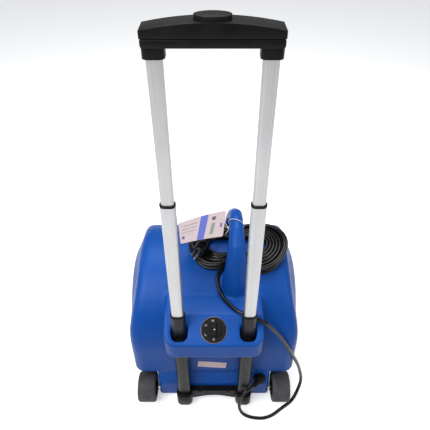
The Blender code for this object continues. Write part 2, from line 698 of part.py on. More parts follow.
# ---------------------------------------------------------------- trolley
def section(size, grow=0.0):
    width, depth, corner, _ = size
    return rounded_rectangle(width + 2 * grow, depth + 2 * grow, corner + grow)


def pipe(name, size, bottom, top, side, finish):
    """One stage of a trolley leg: a drawn tube with a rounded-rectangle section."""
    loops = [section(size), section(size, -size[3])]
    return outline(name, loops, top - bottom, (side * TUBE_X, 0, (bottom + top) / 2), finish=finish)


def sleeve(name, outer, outer_grow, inner, inner_grow, bottom, top, side, finish):
    """A short ring between two tube sections."""
    loops = [section(outer, outer_grow), section(inner, inner_grow)]
    return outline(name, loops, top - bottom, (side * TUBE_X, 0, (bottom + top) / 2), finish=finish)


def trolley_leg(side, hand):
    pipe(f"outer_tube_{hand}", OUTER, OUTER_BOTTOM_Z, OUTER_TOP_Z, side, black_steel())
    sleeve(f"guide_bush_{hand}", OUTER, 0.0, MIDDLE, 0.0004, OUTER_TOP_Z + GAP,
           OUTER_TOP_Z + GAP + COLLAR_HEIGHT, side, black_plastic())
    pipe(f"middle_tube_{hand}", MIDDLE, MIDDLE_BOTTOM_Z, MIDDLE_TOP_Z, side, silver_tube())
    sleeve(f"collar_{hand}", MIDDLE, 0.0004, UPPER, 0.0004, MIDDLE_TOP_Z + GAP,
           MIDDLE_TOP_Z + GAP + COLLAR_HEIGHT, side, black_plastic())
    pipe(f"upper_tube_{hand}", UPPER, UPPER_BOTTOM_Z, UPPER_TOP_Z, side, silver_tube())
    cylinder(f"release_rod_{hand}", 0.0025, 0.300, (side * TUBE_X, 0, 0.7915), segments=12, finish=steel())


def bottom_bracket():
    """Cups for both legs, joined by an arched crossbar screwed to the base."""
    front = BASE_REAR_Y - GAP
    bar = [(-TUBE_X, 0.052), (-TUBE_X, 0.024)]
    bar += [(-0.050 + 0.100 * i / 8, 0.024 + 0.012 * math.sin(math.pi * i / 8)) for i in range(9)]
    bar += [(TUBE_X, 0.024), (TUBE_X, 0.052), (0.046, 0.058), (-0.046, 0.058)]
    piece = as_mesh(outline("bottom_bracket", [bar[::-1]], 0.015, (0, front - 0.0075, 0),
                            (math.pi / 2, 0, 0)))
    piece.data.materials.append(black_plastic())
    for side in (-1, 1):
        cup = rounded_rectangle(0.0395, 0.0325, 0.0130, (side * TUBE_X, front - 0.01625), 5)
        solid = as_mesh(outline(f"cup_{side}", [cup], 0.040, (0, 0, 0.038), cutter=True))
        fuse(piece, bevel(solid, 0.002, 2, 40))
        seat = section(OUTER, GAP)
        seat = [(x + side * TUBE_X, y) for x, y in seat]
        cut(piece, as_mesh(outline(f"cup_seat_{side}", [seat], 0.060,
                                   (0, 0, OUTER_BOTTOM_Z - GAP + 0.030), cutter=True)))
    return piece


def oval(half_x, half_y, steps=32, grow=0.0):
    circle = arc((0, 0), 1, 0, 360 - 360 / steps, steps - 1)
    return [((half_x + grow) * x, (half_y + grow) * y) for x, y in circle]


def grip():
    """The T-grip: a lower shell with two sockets, a crowned cover and the push button."""
    lower = box("grip_base", (-GRIP_HALF_WIDTH, -GRIP_HALF_DEPTH, GRIP_BAR_Z),
                (GRIP_HALF_WIDTH, GRIP_HALF_DEPTH, GRIP_SPLIT_Z), 0.003, 2, finish=black_plastic())
    for side in (-1, 1):
        socket = rounded_rectangle(0.0300, 0.0260, 0.0080, (side * TUBE_X, 0), 4)
        fuse(lower, as_mesh(outline(f"socket_{side}", [socket], 0.020, (0, 0, GRIP_BOTTOM_Z + 0.010),
                                    cutter=True)))
    cut(lower, box("grip_base_pocket", (-0.0835, -0.0135, GRIP_BAR_Z + 0.004),
                   (0.0835, 0.0135, GRIP_SPLIT_Z + 0.010), cutter=True))
    for side in (-1, 1):
        hole = [(x + side * TUBE_X, y) for x, y in section(UPPER, GAP)]
        cut(lower, as_mesh(outline(f"socket_hole_{side}", [hole], 0.060, (0, 0, GRIP_BOTTOM_Z + 0.010),
                                   cutter=True)))
    base_z = GRIP_SPLIT_Z + GAP
    crown = [(-GRIP_HALF_WIDTH, base_z), (GRIP_HALF_WIDTH, base_z)]
    steps = 12
    for i in range(steps + 1):
        t = 1 - 2 * i / steps
        crown.append((t * GRIP_HALF_WIDTH, GRIP_CROWN_Z - (GRIP_CROWN_Z - GRIP_END_Z) * t * t))
    cover = as_mesh(outline("grip_cover", [crown], 2 * GRIP_HALF_DEPTH, (0, 0, 0), (math.pi / 2, 0, 0)))
    cover.data.materials.append(black_plastic())
    bevel(cover, 0.004, 3, 40)
    cut(cover, box("grip_cover_pocket", (-0.0835, -0.0135, GRIP_SPLIT_Z - 0.010),
                   (0.0835, 0.0135, 0.9482), cutter=True),
        as_mesh(outline("button_hole", [oval(*BUTTON_HALF, grow=0.0005)], 0.060, (0, 0, 0.960),
                        cutter=True)))
    button = as_mesh(outline("release_button", [oval(*BUTTON_HALF)], BUTTON_TOP_Z - 0.9485,
                             (0, 0, (BUTTON_TOP_Z + 0.9485) / 2)))
    button.data.materials.append(black_plastic())
    bevel(button, 0.002, 2, 40)
    box("release_yoke", (-0.0815, -0.0065, 0.9417), (0.0815, 0.0065, 0.9477), finish=black_plastic())
    turns, points = 3, 24
    spring_low, spring_high = GRIP_BAR_Z + 0.0042 + 0.0006, 0.9417 - GAP - 0.0007
    helix = []
    for i in range(points + 1):
        angle = math.tau * turns * i / points
        height = spring_low + (spring_high - spring_low) * i / points
        helix.append((0.0055 * math.cos(angle), 0.0055 * math.sin(angle), height))
    tube("button_spring", helix, 0.0006, 2, finish=steel())


# ---------------------------------------------------------------- running gear and trim
def wheel(side, hand):
    """A tyre on a spoked hub, both turned about the axle."""
    inner, outer = TYRE_X
    middle = (inner + outer) / 2
    half = (outer - inner) / 2
    turn = (0.0, side * math.pi / 2, 0.0)
    turned(f"tyre_{hand}", [(0.0275, half), (0.0340, half), (0.0368, half - 0.0012),
                            (WHEEL_R, half - 0.004), (WHEEL_R, -half + 0.004),
                            (0.0368, -half + 0.0012), (0.0340, -half), (0.0275, -half)],
           (side * middle, AXLE_Y, AXLE_Z), turn, 32, ring=True, finish=rubber())
    turned(f"wheel_hub_{hand}", [(0.0135, half - 0.003), (0.0135, half - 0.012), (0.0215, half - 0.012),
                                 (0.0240, half - 0.001), (0.0272, half - 0.001), (0.0272, -half + 0.001),
                                 (0.0240, -half + 0.001), (0.0215, -half + 0.012), (0.0120, -half + 0.012),
                                 (0.0120, -half - 0.004), (AXLE_R + 0.0003, -half - 0.004),
                                 (AXLE_R + 0.0003, half - 0.003)],
           (side * middle, AXLE_Y, AXLE_Z), turn, 24, ring=True, finish=black_plastic())
    turned(f"axle_cap_{hand}", [(0.0, 0.0055), (0.0080, 0.0050), (0.0115, 0.0032), (0.0125, GAP),
                                (0.0, GAP)],
           (side * (outer - 0.0030 + 0.0016), AXLE_Y, AXLE_Z), turn, 24, finish=steel())


def running_gear():
    for side, hand in ((-1, "left"), (1, "right")):
        wheel(side, hand)
        turned(f"front_foot_{hand}", [(0.0, SOLE_Z - GAP), (0.015, SOLE_Z - GAP), (0.015, 0.003),
                                      (0.0125, 0.0), (0.0, 0.0)],
               (side * 0.130, 0.405, 0), steps=24, finish=rubber())
    cylinder("axle", AXLE_R, 2 * (TYRE_X[1] - 0.0030 + 0.0010), (0, AXLE_Y, AXLE_Z), X_AXIS_TURN, 24,
             finish=steel())


def screw(name, head_centre, direction, radius=0.0040):
    """The pan head of a fastener, seen from outside; it points along its direction."""
    return turned(name, [(0.0, 0.0026), (radius * 0.6, 0.0024), (radius * 0.93, 0.0014), (radius, 0.0),
                         (0.0, 0.0)],
                  head_centre, aim(direction), 12, finish=steel())


def screws():
    for side, hand in ((-1, "left"), (1, "right")):
        screw(f"bracket_screw_{hand}", (side * 0.036, BASE_REAR_Y - 0.015 - 2 * GAP, 0.050), (0, -1, 0))
        screw(f"grip_screw_{hand}", (side * 0.045, 0, GRIP_BAR_Z - GAP), (0, 0, -1))
        for place_name, angle in (("top", 90), ("bottom", 270)):
            y = FAN_Y + 0.105 * math.cos(math.radians(angle))
            z = FAN_Z + 0.105 * math.sin(math.radians(angle))
            seat = side * (HALF_WIDTH - RECESS + 0.004 + 2 * GAP)
            screw(f"grille_screw_{place_name}_{hand}", (seat, y, z), (side, 0, 0), 0.0035)


def trim():
    """Rating label on the rear wall, and the hang tag tied to the carry handle."""
    label = box("rating_label", (-0.035, -0.0002, -0.012), (0.035, 0.0002, 0.012), finish=card())
    label.location = (-0.0045, REAR_WALL_Y - GAP - 0.0003, 0.142)
    label.rotation_euler = (0, math.radians(6), 0)

    along = Vector((0.935, -0.160, 0.315)).normalized()
    across = Vector((0.08, 0.955, 0.24))
    across = (across - along * across.dot(along)).normalized()
    up = along.cross(across)
    tag = outline("hang_tag", [rounded_rectangle(0.124, 0.062, 0.002, steps=1), oval(0.0022, 0.0022, 12)],
                  0.0006, (0, 0, 0), finish=card())
    for point in tag.data.splines[1].points:
        point.co.x += 0.056
    tag.location = (-0.040, 0.170, 0.4650)
    tag.rotation_euler = Matrix((along, across, up)).transposed().to_euler()

    centre = Vector((HANDLE_X, 0.1605, 0.4830))
    ring = []
    for i in range(28):
        angle = math.tau * i / 28
        reach = 0.0376 if math.cos(angle) < 0 else 0.0190
        ring.append(centre + Vector((reach * math.cos(angle), 0, 0.0200 * math.sin(angle))))
    tube("tag_string", ring, 0.0006, 2, closed=True, finish=card())


housing()
intake_grille("intake_grille_left", -1)
intake_grille("intake_grille_right", 1)
outlet_grille()
fan()
switch()
gland()
cord()
plug()
for leg_side, leg_hand in ((-1, "left"), (1, "right")):
    trolley_leg(leg_side, leg_hand)
bottom_bracket()
grip()
running_gear()
screws()
trim()
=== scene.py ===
"""Air mover with a telescopic trolley handle: finishes, cord, tag and a plain studio."""
import math

import bmesh
import bpy
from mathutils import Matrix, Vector
from mathutils.bvhtree import BVHTree


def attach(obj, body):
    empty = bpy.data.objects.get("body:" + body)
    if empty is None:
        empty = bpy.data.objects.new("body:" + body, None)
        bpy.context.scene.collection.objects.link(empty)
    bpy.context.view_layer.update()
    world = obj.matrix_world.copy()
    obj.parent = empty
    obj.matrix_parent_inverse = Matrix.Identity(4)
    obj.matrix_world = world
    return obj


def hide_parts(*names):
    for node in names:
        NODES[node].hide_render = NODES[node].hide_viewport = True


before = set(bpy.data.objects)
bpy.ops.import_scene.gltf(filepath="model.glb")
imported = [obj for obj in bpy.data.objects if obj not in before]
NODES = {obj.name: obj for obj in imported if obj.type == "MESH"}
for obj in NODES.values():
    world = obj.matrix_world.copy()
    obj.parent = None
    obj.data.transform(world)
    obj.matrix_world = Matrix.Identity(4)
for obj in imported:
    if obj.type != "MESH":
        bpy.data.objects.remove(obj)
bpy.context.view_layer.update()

# Places are given from the plane of the trolley tubes, as in the part's own source.
TUBE_PLANE_Y = -0.208
FAN_Y, FAN_Z, DRUM_R = 0.204, 0.200, 0.182
SEAM_X = 0.036
CORD_R = 0.0042
FLOOR_Z = 0.0045
HANK_CENTRE = (0.055, 0.1895)
HANK_HALF = (0.1195, 0.0765)
HANDLE_X = 0.050
PLUG_TAIL = Vector((-0.0049, 0.1931, 0.4248))
PLUG_FACE = Vector((-0.0358, 0.1398, 0.4180))
CORD_INTO_HANK = [(0.0110, 0.1230, 0.3689), (0.0220, 0.1320, 0.3736), (0.0370, 0.1365, 0.3757)]
CORD_INTO_PLUG = [(0.0560, 0.2420, 0.4055), (0.0360, 0.2370, 0.4110), (0.0180, 0.2260, 0.4180),
                  (0.0050, 0.2085, 0.4235)]
CORD_ROUTE = [
    (0.0985, -0.0070, 0.0895), (0.0920, -0.0130, 0.0908), (0.0840, -0.0175, 0.0905),
    (0.0760, -0.0205, 0.0875), (0.0690, -0.0245, 0.0810), (0.0645, -0.0292, 0.0690),
    (0.0630, -0.0335, 0.0520), (0.0650, -0.0375, 0.0330), (0.0720, -0.0410, 0.0165),
    (0.0860, -0.0445, 0.0072), (0.1030, -0.0467, FLOOR_Z), (0.1250, -0.0480, FLOOR_Z),
    (0.1500, -0.0400, FLOOR_Z), (0.1760, -0.0215, FLOOR_Z), (0.2050, -0.0020, 0.0070),
    (0.2215, 0.0190, 0.0260), (0.2280, 0.0300, 0.0560), (0.2175, 0.0300, 0.1060),
    (0.2050, 0.0240, 0.1480), (0.1900, 0.0195, 0.1860), (0.1745, 0.0160, 0.2230),
    (0.1580, 0.0150, 0.2590), (0.1400, 0.0130, 0.2905), (0.1240, 0.0105, 0.3150),
    (0.1105, 0.0100, 0.3345), (0.0965, 0.0125, 0.3400), (0.0840, 0.0175, 0.3420),
    (0.0700, 0.0225, 0.3430), (0.0560, 0.0300, 0.3430), (0.0380, 0.0465, 0.3430),
    (0.0180, 0.0744, 0.3440), (0.0085, 0.0985, 0.3545), (0.0068, 0.1120, 0.3632)]
CONSOLE_LIP_TOP_Z, CONSOLE_SLOPE = 0.3044, math.radians(30)
DIAL_Y, DIAL_FROM_LIP = -0.001, 0.029
DIAL_NORMAL = Vector((0.0, -math.sin(CONSOLE_SLOPE), math.cos(CONSOLE_SLOPE)))
DIAL_UP = Vector((0.0, math.cos(CONSOLE_SLOPE), math.sin(CONSOLE_SLOPE)))
DIAL_CENTRE = Vector((0.0, DIAL_Y + TUBE_PLANE_Y,
                      CONSOLE_LIP_TOP_Z + math.tan(CONSOLE_SLOPE) * DIAL_FROM_LIP))


# ---------------------------------------------------------------- helpers
def at(x, y, z):
    """A point given from the tube plane, in the row frame."""
    return Vector((x, y + TUBE_PLANE_Y, z))


def add(name, data):
    obj = bpy.data.objects.new(name, data)
    bpy.context.scene.collection.objects.link(obj)
    return obj


def piece(obj, finish, body="housing"):
    """Gives an object its only material, and the body that it goes with."""
    obj.data.materials.clear()
    obj.data.materials.append(finish)
    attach(obj, body)
    return obj


def from_bmesh(name, shape, smooth=True):
    mesh = bpy.data.meshes.new(name)
    shape.to_mesh(mesh)
    shape.free()
    if smooth:
        mesh.shade_smooth()
    return add(name, mesh)


def rod(name, paths, radius, sides=3, closed=False):
    """Round rods along one or more lists of points, as one curve."""
    curve = bpy.data.curves.new(name, "CURVE")
    curve.dimensions = "3D"
    curve.bevel_depth = radius
    curve.bevel_resolution = sides
    curve.use_fill_caps = True
    for points in paths:
        spline = curve.splines.new("POLY")
        spline.points.add(len(points) - 1)
        for point, co in zip(spline.points, points):
            point.co = (*co, 1.0)
        spline.use_cyclic_u = closed
        spline.use_smooth = True
    return add(name, curve)


def lathe(name, profile, start, direction, steps):
    """A turned shape: (radius, distance along direction) from end to end."""
    turn = Vector(direction).to_track_quat("Z", "Y").to_matrix()
    shape = bmesh.new()
    rings = []
    for radius, along in profile:
        ring = []
        for i in range(steps):
            a = math.tau * i / steps
            spoke = Vector((radius * math.cos(a), radius * math.sin(a), along))
            ring.append(shape.verts.new(Vector(start) + turn @ spoke))
        rings.append(ring)
    for ring, after in zip(rings, rings[1:]):
        for i in range(steps):
            j = (i + 1) % steps
            shape.faces.new((ring[i], ring[j], after[j], after[i]))
    shape.faces.new(rings[0][::-1])
    shape.faces.new(rings[-1])
    bmesh.ops.recalc_face_normals(shape, faces=shape.faces)
    obj = from_bmesh(name, shape)
    obj.data.set_sharp_from_angle(angle=math.radians(50))
    return obj


def smooth_path(points, spacing):
    """Points at about an even spacing on a Catmull-Rom curve through the given points."""
    points = [Vector(p) for p in points]
    padded = [2 * points[0] - points[1]] + points + [2 * points[-1] - points[-2]]
    path = []
    for a, b, c, d in zip(padded, padded[1:], padded[2:], padded[3:]):
        count = max(1, round((c - b).length / spacing))
        for i in range(count):
            t = i / count
            path.append(0.5 * (2 * b + (c - a) * t + (2 * a - 5 * b + 4 * c - d) * t * t
                               + (3 * b - a - 3 * c + d) * t ** 3))
    return path + [points[-1]]


def evened(points, spacing, rounds):
    """The path again at an even spacing, with kinks eased away and its ends kept."""
    points = [Vector(p) for p in points]
    out, spare = [points[0]], 0.0
    for a, b in zip(points, points[1:]):
        length = (b - a).length
        while length > 1e-9 and spare + length >= spacing:
            step = spacing - spare
            a = a + (b - a) * (step / length)
            length -= step
            spare = 0.0
            out.append(a)
        spare += length
    if (out[-1] - points[-1]).length > spacing * 0.4:
        out.append(points[-1])
    else:
        out[-1] = points[-1]
    for _ in range(rounds):
        out = ([out[0]] + [(a + 2 * b + c) / 4 for a, b, c in zip(out, out[1:], out[2:])] + [out[-1]])
    return out


# ---------------------------------------------------------------- finishes
class Graph:
    """A material's nodes, built one after another."""

    def __init__(self, name):
        self.material = bpy.data.materials.new(name)
        self.material.use_nodes = True
        self.tree = self.material.node_tree
        self.shader = self.tree.nodes["Principled BSDF"]
        self.coordinates = self.tree.nodes.new("ShaderNodeTexCoord")

    def node(self, kind, **settings):
        made = self.tree.nodes.new("ShaderNode" + kind)
        for key, value in settings.items():
            setattr(made, key, value)
        return made

    def link(self, source, target):
        self.tree.links.new(source, target)

    def feed(self, socket, value):
        if isinstance(value, bpy.types.NodeSocket):
            self.link(value, socket)
        elif isinstance(value, (tuple, list)) and len(value) == 3 and socket.type == "RGBA":
            socket.default_value = (*value, 1.0)
        else:
            socket.default_value = value

    def math(self, operation, a, b=0.0):
        node = self.node("Math", operation=operation)
        self.feed(node.inputs[0], a)
        self.feed(node.inputs[1], b)
        return node.outputs[0]

    def space(self, stretch=(1, 1, 1)):
        """The piece's own coordinates, stretched."""
        mapping = self.node("Mapping")
        mapping.inputs["Scale"].default_value = stretch
        self.link(self.coordinates.outputs["Object"], mapping.inputs["Vector"])
        return mapping.outputs[0]

    def noise(self, scale, detail=3.0, rough=0.5, stretch=(1, 1, 1), warp=0.0):
        made = self.node("TexNoise")
        self.link(self.space(stretch), made.inputs["Vector"])
        made.inputs["Scale"].default_value = scale
        made.inputs["Detail"].default_value = detail
        made.inputs["Roughness"].default_value = rough
        made.inputs["Distortion"].default_value = warp
        return made.outputs["Fac"]

    def cells(self, scale):
        made = self.node("TexVoronoi")
        self.link(self.space(), made.inputs["Vector"])
        made.inputs["Scale"].default_value = scale
        return made.outputs["Distance"]

    def remap(self, value, low, high, out_low, out_high):
        made = self.node("MapRange", clamp=True)
        self.feed(made.inputs["Value"], value)
        for key, number in zip(("From Min", "From Max", "To Min", "To Max"),
                               (low, high, out_low, out_high)):
            made.inputs[key].default_value = number
        return made.outputs[0]

    def mix(self, factor, a, b):
        made = self.node("Mix", data_type="RGBA")
        self.feed(made.inputs[0], factor)
        self.feed(made.inputs[6], a)
        self.feed(made.inputs[7], b)
        return made.outputs[2]

    def band(self, value, low, high, soft=0.002):
        """1 where the value lies between low and high."""
        rise = self.remap(value, low - soft, low + soft, 0.0, 1.0)
        fall = self.remap(value, high - soft, high + soft, 1.0, 0.0)
        return self.math("MULTIPLY", rise, fall)

    def surface(self, colour, roughness, height=None, depth=0.0, **sockets):
        self.feed(self.shader.inputs["Base Color"], colour)
        self.feed(self.shader.inputs["Roughness"], roughness)
        for key, value in sockets.items():
            self.shader.inputs[key.replace("_", " ")].default_value = value
        if height is not None:
            bump = self.node("Bump")
            bump.inputs["Distance"].default_value = depth
            self.feed(bump.inputs["Height"], height)
            self.link(bump.outputs[0], self.shader.inputs["Normal"])
        return self.material


def polyethylene():
    """Rotomoulded blue plastic: satin, faintly mottled, with an even orange peel, light scuffs and a
    painted highlight along its sharp edges.
    """
    g = Graph("polyethylene_blue")
    mottle = g.remap(g.noise(9.0, 4.0, 0.6), 0.35, 0.68, 0.0, 1.0)
    colour = g.mix(mottle, (0.0022, 0.060, 0.300), (0.0042, 0.070, 0.335))
    scuff = g.remap(g.noise(38.0, 6.0, 0.72, (1.0, 1.0, 0.22), 0.6), 0.66, 0.80, 0.0, 0.32)
    colour = g.mix(scuff, colour, (0.040, 0.115, 0.380))
    # Painted highlight: a brighter blue on the sharp convex edges, as if they caught the light.
    edge = g.node("NewGeometry").outputs["Pointiness"]
    painted_edge_highlight = g.remap(edge, 0.515, 0.56, 0.0, 0.30)
    colour = g.mix(painted_edge_highlight, colour, (0.020, 0.100, 0.400))
    roughness = g.remap(g.noise(60.0, 5.0, 0.6), 0.3, 0.7, 0.36, 0.47)
    peel = g.math("ADD", g.noise(340.0, 2.0, 0.5), g.math("MULTIPLY", g.noise(55.0, 2.0), 0.9))
    return g.surface(colour, roughness, peel, 0.00016, Specular_IOR_Level=0.17)


def nylon(name="nylon_black", base=0.0042, grain=1500.0, low=0.38, high=0.52):
    """Moulded black plastic with a fine spark-eroded grain."""
    g = Graph(name)
    tone = g.remap(g.noise(26.0, 4.0, 0.6), 0.35, 0.7, 0.0, 1.0)
    colour = g.mix(tone, (base, base, base * 1.03), (base * 1.9, base * 1.9, base * 2.0))
    roughness = g.remap(g.noise(90.0, 4.0), 0.3, 0.7, low, high)
    height = g.math("ADD", g.cells(grain), g.noise(grain * 0.6, 2.0))
    return g.surface(colour, roughness, height, 0.00004, Specular_IOR_Level=0.12)


def coated_steel():
    """Satin black powder coat on the fixed tubes, rubbed a little along the tube."""
    g = Graph("powder_coat_black")
    streak = g.remap(g.noise(30.0, 5.0, 0.65, (9.0, 9.0, 0.35)), 0.45, 0.75, 0.0, 1.0)
    colour = g.mix(streak, (0.0050, 0.0050, 0.0054), (0.014, 0.014, 0.015))
    roughness = g.remap(g.noise(180.0, 4.0), 0.3, 0.7, 0.24, 0.36)
    return g.surface(colour, roughness, g.noise(1300.0, 2.0), 0.00005, Specular_IOR_Level=0.16)


def anodised():
    """Satin anodised aluminium with drawn lines along the tube."""
    g = Graph("aluminium_anodised")
    tone = (0.47, 0.47, 0.475)
    lines = g.noise(260.0, 4.0, 0.6, (1.0, 1.0, 0.012))
    smear = g.remap(g.noise(14.0, 4.0, 0.6, (2.0, 2.0, 0.5)), 0.35, 0.7, 0.0, 1.0)
    bright = tuple(c * 1.07 for c in tone)
    dull = tuple(c * 0.90 for c in tone)
    colour = g.mix(g.remap(lines, 0.3, 0.7, 0.0, 1.0), dull, bright)
    colour = g.mix(g.math("MULTIPLY", smear, 0.25), colour, tuple(c * 0.82 for c in tone))
    roughness = g.remap(g.math("ADD", g.math("MULTIPLY", lines, 0.6), g.math("MULTIPLY", smear, 0.4)),
                        0.3, 0.7, 0.34, 0.46)
    return g.surface(colour, roughness, lines, 0.00003, Metallic=1.0)


def tyre_rubber():
    """Dark grey rubber with a little dust in its grain."""
    g = Graph("rubber_grey")
    tone = g.remap(g.noise(48.0, 5.0, 0.65), 0.35, 0.7, 0.0, 1.0)
    colour = g.mix(tone, (0.034, 0.034, 0.036), (0.062, 0.062, 0.065))
    dust = g.remap(g.noise(190.0, 6.0, 0.75), 0.58, 0.74, 0.0, 0.35)
    colour = g.mix(dust, colour, (0.135, 0.130, 0.122))
    roughness = g.remap(g.noise(120.0, 3.0), 0.3, 0.7, 0.58, 0.76)
    return g.surface(colour, roughness, g.noise(900.0, 3.0, 0.6), 0.00010, Specular_IOR_Level=0.40)


def cord_jacket():
    """Extruded jacket: glossy, with the twist of the cores just showing."""
    g = Graph("jacket_black")
    tone = g.remap(g.noise(60.0, 4.0, 0.6), 0.35, 0.7, 0.0, 1.0)
    colour = g.mix(tone, (0.0024, 0.0024, 0.0026), (0.0060, 0.0058, 0.0056))
    roughness = g.remap(g.noise(150.0, 4.0), 0.3, 0.7, 0.17, 0.28)
    return g.surface(colour, roughness, g.noise(420.0, 3.0, 0.55), 0.00003, Specular_IOR_Level=0.30)


def plated(name="zinc_plate", tone=(0.60, 0.60, 0.58), low=0.22, high=0.40):
    """Plated or blackened metal, cloudy, with a roughness between low and high."""
    g = Graph(name)
    cloud = g.remap(g.noise(120.0, 5.0, 0.6), 0.35, 0.7, 0.0, 1.0)
    colour = g.mix(cloud, tuple(c * 0.85 for c in tone), tone)
    roughness = g.remap(g.noise(340.0, 4.0), 0.3, 0.7, low, high)
    return g.surface(colour, roughness, g.noise(900.0, 2.0), 0.00003, Metallic=1.0)


def enamel():
    g = Graph("motor_enamel")
    cloud = g.remap(g.noise(40.0, 5.0, 0.6), 0.35, 0.7, 0.0, 1.0)
    colour = g.mix(cloud, (0.075, 0.082, 0.090), (0.120, 0.130, 0.140))
    return g.surface(colour, g.remap(g.noise(220.0), 0.3, 0.7, 0.38, 0.55), g.noise(700.0), 0.00006)


def brass():
    """The thin bright rim under the switch plate."""
    return plated("rim_metal", (0.42, 0.29, 0.17), 0.30, 0.45)


def white_ink():
    g = Graph("ink_white")
    thin = g.remap(g.noise(900.0, 3.0), 0.4, 0.7, 0.0, 1.0)
    colour = g.mix(thin, (0.60, 0.60, 0.61), (0.40, 0.40, 0.42))
    return g.surface(colour, g.remap(g.noise(600.0), 0.3, 0.7, 0.45, 0.6))


def string_fibre():
    g = Graph("string_white")
    twist = g.node("TexWave", wave_type="BANDS", bands_direction="DIAGONAL")
    g.link(g.space(), twist.inputs["Vector"])
    twist.inputs["Scale"].default_value = 700.0
    colour = g.mix(twist.outputs["Fac"], (0.62, 0.58, 0.56), (0.86, 0.84, 0.83))
    return g.surface(colour, g.remap(g.noise(900.0), 0.3, 0.7, 0.75, 0.9), twist.outputs["Fac"], 0.0002)


def print_lines(g, u, v, rows, cut):
    """Rows of broken grey strokes: print too small to read. Rows run along u."""
    across = g.math("FRACT", g.math("MULTIPLY", v, rows))
    row = g.band(across, 0.28, 0.62, 0.06)
    broken = g.node("TexNoise")
    broken.inputs["Scale"].default_value = cut
    broken.inputs["Detail"].default_value = 2.0
    combine = g.node("CombineXYZ")
    g.feed(combine.inputs[0], u)
    g.feed(combine.inputs[1], g.math("FLOOR", g.math("MULTIPLY", v, rows)))
    g.link(combine.outputs[0], broken.inputs["Vector"])
    return g.math("MULTIPLY", row, g.remap(broken.outputs["Fac"], 0.47, 0.53, 0.0, 1.0))


def tag_print():
    """Card with plain coloured blocks and rows of grey strokes, none of it lettering."""
    g = Graph("tag_card")
    split = g.node("SeparateXYZ")
    g.link(g.coordinates.outputs["UV"], split.inputs[0])
    u, v = split.outputs[0], split.outputs[1]
    fibre = g.noise(420.0, 4.0, 0.6)
    card = g.mix(g.remap(fibre, 0.35, 0.65, 0.0, 1.0), (0.430, 0.345, 0.360), (0.470, 0.385, 0.400))
    lean = g.math("ADD", u, g.math("MULTIPLY", v, -0.105))
    band = g.band(lean, 0.385, 0.545)
    weave = g.mix(print_lines(g, lean, v, 15.0, 60.0), (0.075, 0.105, 0.400), (0.135, 0.160, 0.440))
    colour = g.mix(band, card, weave)
    block = g.math("MULTIPLY", g.band(lean, 0.655, 0.735), g.band(v, 0.17, 0.62))
    hatch = g.mix(print_lines(g, v, lean, 60.0, 30.0), (0.20, 0.24, 0.21), (0.105, 0.14, 0.12))
    colour = g.mix(block, colour, hatch)
    emblem = g.math("MULTIPLY", g.band(lean, 0.640, 0.715), g.band(v, 0.735, 0.860))
    colour = g.mix(emblem, colour, (0.045, 0.060, 0.115))
    script = g.math("MULTIPLY", g.band(lean, 0.000, 0.330), g.band(v, 0.360, 0.860))
    strokes = g.math("MULTIPLY", script, print_lines(g, g.math("MULTIPLY", u, 0.8), v, 7.0, 90.0))
    colour = g.mix(g.math("MULTIPLY", strokes, 0.85), colour, (0.085, 0.085, 0.100))
    spot = g.math("MULTIPLY", g.band(u, 0.055, 0.110), g.band(v, 0.200, 0.330))
    colour = g.mix(spot, colour, (0.050, 0.080, 0.190))
    corner = g.math("MULTIPLY", g.band(u, 0.905, 0.945), g.band(v, 0.40, 0.56))
    colour = g.mix(corner, colour, (0.060, 0.080, 0.250))
    rim = g.math("SUBTRACT", 1.0, g.math("MULTIPLY", g.band(u, 0.006, 0.994), g.band(v, 0.012, 0.988)))
    colour = g.mix(g.math("MULTIPLY", rim, 0.35), colour, (0.26, 0.21, 0.22))
    return g.surface(colour, g.remap(fibre, 0.3, 0.7, 0.42, 0.60), fibre, 0.00005, Specular_IOR_Level=0.35)


def label_print():
    """The rating sticker: pinkish white with faint grey strokes."""
    g = Graph("label_card")
    split = g.node("SeparateXYZ")
    g.link(g.coordinates.outputs["Generated"], split.inputs[0])
    u, v = split.outputs[0], split.outputs[2]
    fibre = g.noise(500.0, 3.0)
    card = g.mix(g.remap(fibre, 0.35, 0.65, 0.0, 1.0), (0.66, 0.49, 0.52), (0.72, 0.56, 0.58))
    inside = g.math("MULTIPLY", g.band(u, 0.08, 0.93), g.band(v, 0.25, 0.78))
    strokes = g.math("MULTIPLY", inside, print_lines(g, u, v, 9.0, 26.0))
    colour = g.mix(g.math("MULTIPLY", strokes, 0.42), card, (0.22, 0.19, 0.21))
    return g.surface(colour, g.remap(fibre, 0.3, 0.7, 0.38, 0.55), fibre, 0.00004)


def studio_floor():
    g = Graph("studio_paper")
    fibre = g.remap(g.noise(3.0, 3.0), 0.3, 0.7, 0.0, 1.0)
    colour = g.mix(fibre, (0.900, 0.900, 0.902), (0.915, 0.915, 0.915))
    g.shader.inputs["Emission Color"].default_value = (1.0, 1.0, 1.0, 1.0)
    return g.surface(colour, 0.92, Emission_Strength=0.42, Specular_IOR_Level=0.1)


BLUE = polyethylene()
NYLON = nylon()
GRIP_NYLON = nylon("nylon_grip", 0.0048, 1100.0, 0.30, 0.42)
COATED = coated_steel()
SILVER = anodised()
RUBBER = tyre_rubber()
JACKET = cord_jacket()
ZINC = plated()
DARK_SCREW = plated("blackened_steel", (0.055, 0.055, 0.058), 0.30, 0.45)
ENAMEL = enamel()
RIM = brass()
INK = white_ink()
STRING = string_fibre()
TAG = tag_print()
LABEL = label_print()


# ---------------------------------------------------------------- camera
def place_camera():
    """Behind the trolley handle, a little above the grip, looking down at the machine."""
    data = bpy.data.cameras.new("camera")
    data.sensor_width = 36.0
    data.lens = 36.0
    camera = add("camera", data)
    camera.location = (0.0027, -0.755, 1.115)
    camera.rotation_euler = (math.radians(49.5), 0.0, 0.0)
    bpy.context.scene.camera = camera


place_camera()


